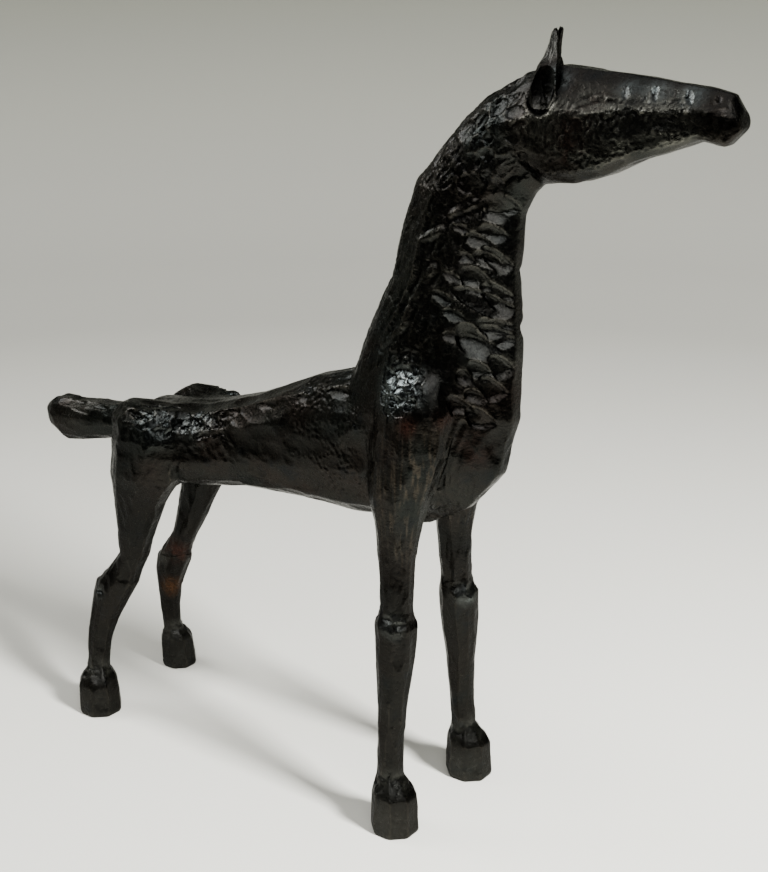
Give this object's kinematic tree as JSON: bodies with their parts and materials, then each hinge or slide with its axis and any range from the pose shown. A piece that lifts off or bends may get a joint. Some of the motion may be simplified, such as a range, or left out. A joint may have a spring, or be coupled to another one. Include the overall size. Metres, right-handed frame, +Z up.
{
  "type": "horse statuette",
  "caption": "Standing horse in facet-carved cast bronze with a thick arched neck, level wedge-shaped head, upright ears, short straight tail and slender legs on block hooves.",
  "frame": {"origin": "on the ground under the middle of the bounding box", "axes": "+X towards the muzzle, +Y towards the horse's left side, +Z up"},
  "size_m": [0.4474, 0.099, 0.411],
  "materials": {
    "patinated_bronze": "dark brown-black waxed patina over a tooled surface",
    "raw_bronze": "turned, unpatinated"
  },
  "bodies": {
    "root": {"belly_core_plug": "raw_bronze", "ear_left": "patinated_bronze", "ear_right": "patinated_bronze", "foreleg_left": "patinated_bronze", "foreleg_left_pin": "raw_bronze", "foreleg_right": "patinated_bronze", "foreleg_right_pin": "raw_bronze", "head": "patinated_bronze", "head_core_plugs": "raw_bronze", "head_pins": "raw_bronze", "hindleg_left": "patinated_bronze", "hindleg_left_pin": "raw_bronze", "hindleg_right": "patinated_bronze", "hindleg_right_pin": "raw_bronze", "neck": "patinated_bronze", "neck_core_plugs": "raw_bronze", "neck_pins": "raw_bronze", "rump_core_plug": "raw_bronze", "tail": "patinated_bronze", "tail_pin": "raw_bronze", "torso": "patinated_bronze", "torso_core_plugs": "raw_bronze"}
  },
  "joints": []
}
